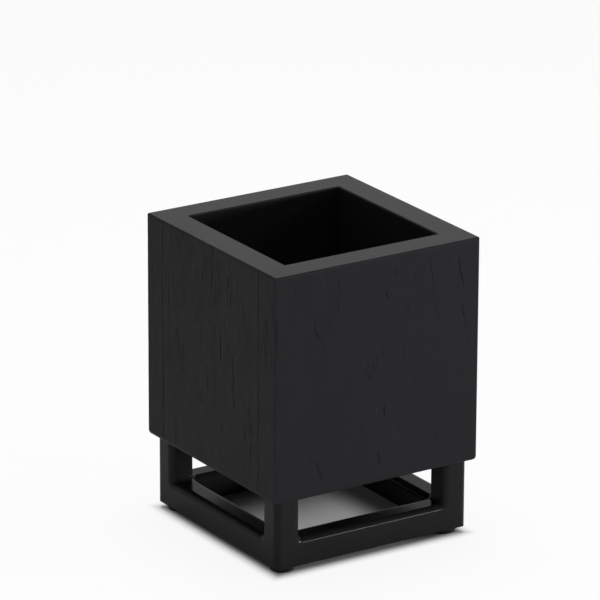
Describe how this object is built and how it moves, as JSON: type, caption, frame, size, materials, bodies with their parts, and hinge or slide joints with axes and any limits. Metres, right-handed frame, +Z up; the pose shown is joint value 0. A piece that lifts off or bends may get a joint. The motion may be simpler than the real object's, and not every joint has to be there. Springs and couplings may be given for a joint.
{
  "type": "pen cup",
  "caption": "Square open-topped timber pen cup with thick walls, standing on an open welded frame of square tube with round rubber feet.",
  "frame": {"origin": "on the desk, below the middle of the cup", "axes": "+Z up through the mouth, -Y out of the front panel, -X out of the left side panel"},
  "size_m": [0.09, 0.09, 0.118],
  "materials": {
    "black_timber": "black stain and matt lacquer over open pores",
    "dowel_wood": "plain beech",
    "black_coat": "satin powder coat",
    "screw_steel": "zinc plated",
    "foot_rubber": "matt"
  },
  "bodies": {
    "root": {"front_panel": "black_timber", "back_panel": "black_timber", "left_panel": "black_timber", "right_panel": "black_timber", "floor_panel": "black_timber", "corner_dowels": "dowel_wood", "rail_front": "black_coat", "rail_right": "black_coat", "rail_back": "black_coat", "rail_left": "black_coat", "post_front_left": "black_coat", "post_front_right": "black_coat", "post_back_right": "black_coat", "post_back_left": "black_coat", "weld_fillets": "black_coat", "plate_front_left": "black_coat", "plate_front_right": "black_coat", "plate_back_right": "black_coat", "plate_back_left": "black_coat", "plate_screws": "screw_steel", "foot_front_left": "foot_rubber", "foot_front_right": "foot_rubber", "foot_back_right": "foot_rubber", "foot_back_left": "foot_rubber"}
  },
  "joints": []
}
